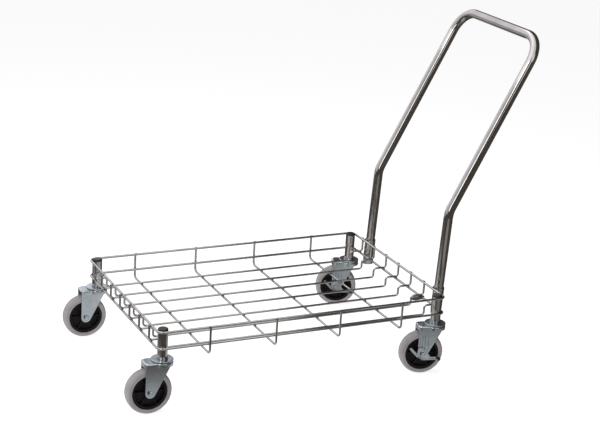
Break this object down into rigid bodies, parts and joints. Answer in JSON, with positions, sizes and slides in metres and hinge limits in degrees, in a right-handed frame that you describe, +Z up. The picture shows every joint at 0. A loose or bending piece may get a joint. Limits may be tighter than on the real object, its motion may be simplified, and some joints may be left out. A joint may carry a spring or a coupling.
{
  "type": "platform trolley",
  "caption": "Chromed wire-basket platform trolley with a tall cranked push handle, corner posts, swivel stem casters and side-lever brakes on the wheels below the handle.",
  "frame": {"origin": "on the floor, at the middle of the rectangle between the four corner posts", "axes": "+X along the length towards the push handle, +Y across the width, +Z up"},
  "size_m": [1.234, 0.6301, 0.9525],
  "materials": {
    "chrome_wire": "bright plated wire",
    "chrome_tube": "polished tube",
    "zinc_steel": "bright zinc plating",
    "ball_steel": "polished",
    "cap_plastic": "moulded",
    "core_plastic": "moulded",
    "tread_rubber": "non-marking grey rubber"
  },
  "bodies": {
    "basket": {"ring_top": "chrome_wire", "ring_low": "chrome_wire", "long_wire_1": "chrome_wire", "long_wire_2": "chrome_wire", "long_wire_3": "chrome_wire", "long_wire_4": "chrome_wire", "long_wire_5": "chrome_wire", "long_wire_6": "chrome_wire", "long_wire_7": "chrome_wire", "cross_wire_1": "chrome_wire", "cross_wire_2": "chrome_wire", "cross_wire_3": "chrome_wire", "cross_wire_4": "chrome_wire", "post_left_front": "chrome_tube", "post_left_back": "chrome_tube", "post_right_front": "chrome_tube", "post_right_back": "chrome_tube", "post_caps": "cap_plastic", "post_inserts": "zinc_steel", "handle_socket_front": "chrome_tube", "handle_socket_back": "chrome_tube", "handle": "chrome_tube", "race_plates": "zinc_steel", "stem_collars": "zinc_steel", "kingpins": "zinc_steel", "race_balls": "ball_steel"},
    "caster_left_front": {"fork_left_front": "zinc_steel", "axle_sleeve_left_front": "zinc_steel", "axle_bolt_left_front": "zinc_steel", "axle_nut_left_front": "zinc_steel"},
    "wheel_left_front": {"wheel_core_left_front": "core_plastic", "wheel_tread_left_front": "tread_rubber"},
    "caster_left_back": {"fork_left_back": "zinc_steel", "axle_sleeve_left_back": "zinc_steel", "axle_bolt_left_back": "zinc_steel", "axle_nut_left_back": "zinc_steel"},
    "wheel_left_back": {"wheel_core_left_back": "core_plastic", "wheel_tread_left_back": "tread_rubber"},
    "caster_right_front": {"fork_right_front": "zinc_steel", "axle_sleeve_right_front": "zinc_steel", "axle_bolt_right_front": "zinc_steel", "axle_nut_right_front": "zinc_steel", "brake_washer_right_front": "zinc_steel"},
    "wheel_right_front": {"wheel_core_right_front": "core_plastic", "wheel_tread_right_front": "tread_rubber"},
    "brake_right_front": {"brake_lever_right_front": "zinc_steel", "brake_grip_right_front": "cap_plastic"},
    "caster_right_back": {"fork_right_back": "zinc_steel", "axle_sleeve_right_back": "zinc_steel", "axle_bolt_right_back": "zinc_steel", "axle_nut_right_back": "zinc_steel", "brake_washer_right_back": "zinc_steel"},
    "wheel_right_back": {"wheel_core_right_back": "core_plastic", "wheel_tread_right_back": "tread_rubber"},
    "brake_right_back": {"brake_lever_right_back": "zinc_steel", "brake_grip_right_back": "cap_plastic"}
  },
  "joints": [
    {"name": "swivel_left_front", "type": "hinge", "parent": "basket", "child": "caster_left_front", "pos_m": [-0.41075, -0.26975, 0.146], "axis": [0, 0, 1], "continuous": true},
    {"name": "spin_left_front", "type": "hinge", "parent": "caster_left_front", "child": "wheel_left_front", "pos_m": [-0.44673, -0.26849, 0.0625], "axis": [0.0349, 0.9994, 0], "continuous": true},
    {"name": "swivel_left_back", "type": "hinge", "parent": "basket", "child": "caster_left_back", "pos_m": [-0.41075, 0.26975, 0.146], "axis": [0, 0, 1], "continuous": true},
    {"name": "spin_left_back", "type": "hinge", "parent": "caster_left_back", "child": "wheel_left_back", "pos_m": [-0.4467, 0.27163, 0.0625], "axis": [0.0523, 0.9986, 0], "continuous": true},
    {"name": "swivel_right_front", "type": "hinge", "parent": "basket", "child": "caster_right_front", "pos_m": [0.41075, -0.26975, 0.146], "axis": [0, 0, 1], "continuous": true},
    {"name": "spin_right_front", "type": "hinge", "parent": "caster_right_front", "child": "wheel_right_front", "pos_m": [0.37582, -0.26104, 0.0625], "axis": [0.2419, 0.9703, 0], "continuous": true},
    {"name": "brake_press_right_front", "type": "hinge", "parent": "caster_right_front", "child": "brake_right_front", "pos_m": [0.37011, -0.28394, 0.0625], "axis": [0.2419, 0.9703, 0], "range_deg": [0, 22]},
    {"name": "swivel_right_back", "type": "hinge", "parent": "basket", "child": "caster_right_back", "pos_m": [0.41075, 0.26975, 0.146], "axis": [0, 0, 1], "continuous": true},
    {"name": "spin_right_back", "type": "hinge", "parent": "caster_right_back", "child": "wheel_right_back", "pos_m": [0.37761, 0.28382, 0.0625], "axis": [0.3907, 0.9205, 0], "continuous": true},
    {"name": "brake_press_right_back", "type": "hinge", "parent": "caster_right_back", "child": "brake_right_back", "pos_m": [0.36839, 0.26209, 0.0625], "axis": [0.3907, 0.9205, 0], "range_deg": [0, 22]}
  ]
}
